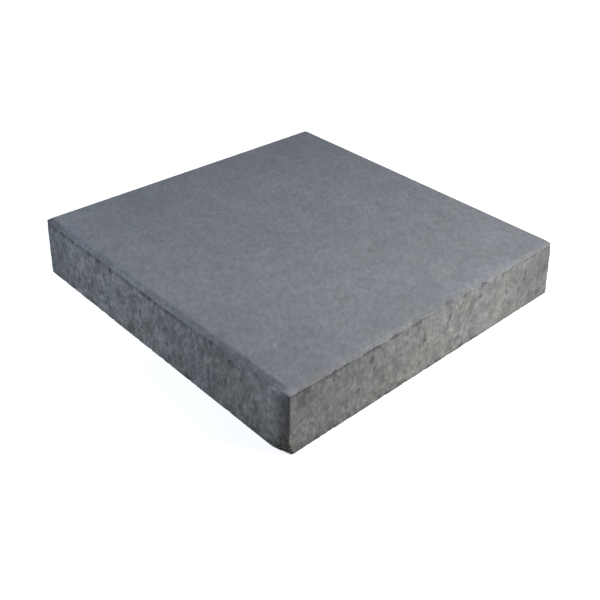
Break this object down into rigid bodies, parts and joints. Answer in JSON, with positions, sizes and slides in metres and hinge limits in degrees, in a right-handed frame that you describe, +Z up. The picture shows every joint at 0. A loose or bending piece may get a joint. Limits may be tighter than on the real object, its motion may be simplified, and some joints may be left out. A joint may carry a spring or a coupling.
{
  "type": "concrete paving slab",
  "caption": "Square paving slab of pressed grey concrete with a bevelled fine face, rough slightly tapered sides and rounded corners, laid flat as paving or used as a base.",
  "frame": {"origin": "centre of the base, on the surface that the slab lies on", "axes": "+Z up out of the face, X and Y along the sides; the knocked lower corner is at +X, -Y"},
  "size_m": [0.298, 0.298, 0.05],
  "materials": {
    "concrete": "matte"
  },
  "bodies": {
    "root": {"slab": "concrete"}
  },
  "joints": []
}
